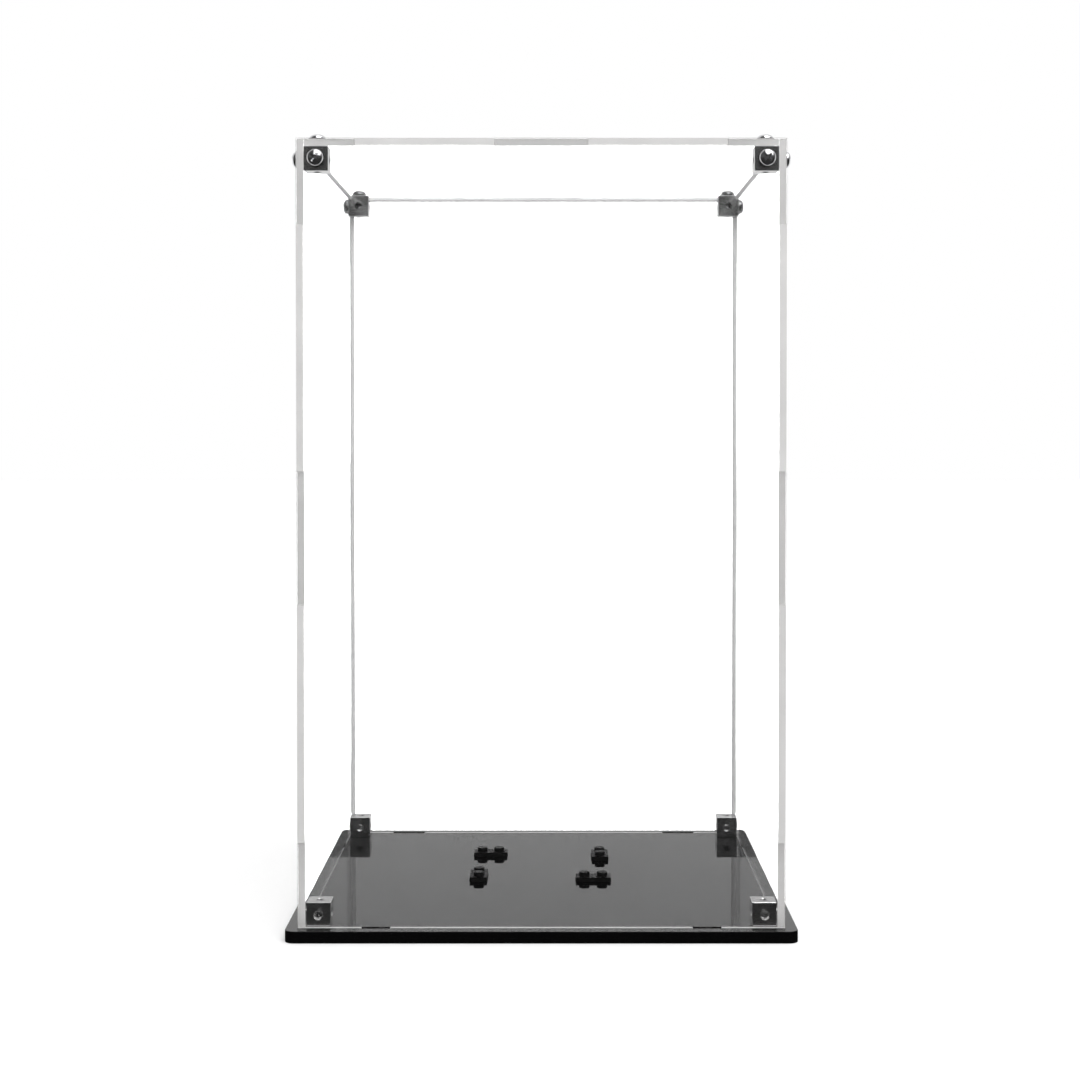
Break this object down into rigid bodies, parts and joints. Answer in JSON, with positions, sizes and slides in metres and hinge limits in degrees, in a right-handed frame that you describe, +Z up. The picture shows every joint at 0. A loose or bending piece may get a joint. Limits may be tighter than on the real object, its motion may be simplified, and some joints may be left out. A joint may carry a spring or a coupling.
{
  "type": "display case",
  "caption": "Tall clear box with interlocking panels and metal corner blocks, lifting off a dark base with studs that hold a brick-built model.",
  "frame": {"origin": "centre of the base's underside", "axes": "+Z up, -Y to the front panel that the picture looks at, +X to that view's right"},
  "size_m": [0.21, 0.19, 0.3305],
  "materials": {
    "clear_acrylic": "polished faces, laser-cut edges",
    "black_acrylic": "polished",
    "block_metal": "finely brushed",
    "screw_steel": "nickel plated",
    "stud_plastic": "moulded gloss"
  },
  "bodies": {
    "base": {"base_plate": "black_acrylic", "lower_block_front_left": "block_metal", "lower_block_front_right": "block_metal", "lower_block_back_left": "block_metal", "lower_block_back_right": "block_metal", "base_screws": "screw_steel", "stud_plate_back_left": "stud_plastic", "stud_plate_back_right": "stud_plastic", "stud_plate_front_right": "stud_plastic", "stud_plate_front_left": "stud_plastic"},
    "cover": {"front_panel": "clear_acrylic", "back_panel": "clear_acrylic", "left_panel": "clear_acrylic", "right_panel": "clear_acrylic", "top_panel": "clear_acrylic", "upper_block_front_left": "block_metal", "upper_block_front_right": "block_metal", "upper_block_back_left": "block_metal", "upper_block_back_right": "block_metal", "top_screws": "screw_steel", "front_screws": "screw_steel", "back_screws": "screw_steel", "left_screws": "screw_steel", "right_screws": "screw_steel"}
  },
  "joints": [
    {"name": "cover_lift", "type": "slide", "parent": "base", "child": "cover", "axis": [0, 0, 1], "range_m": [0, 0.34]}
  ]
}
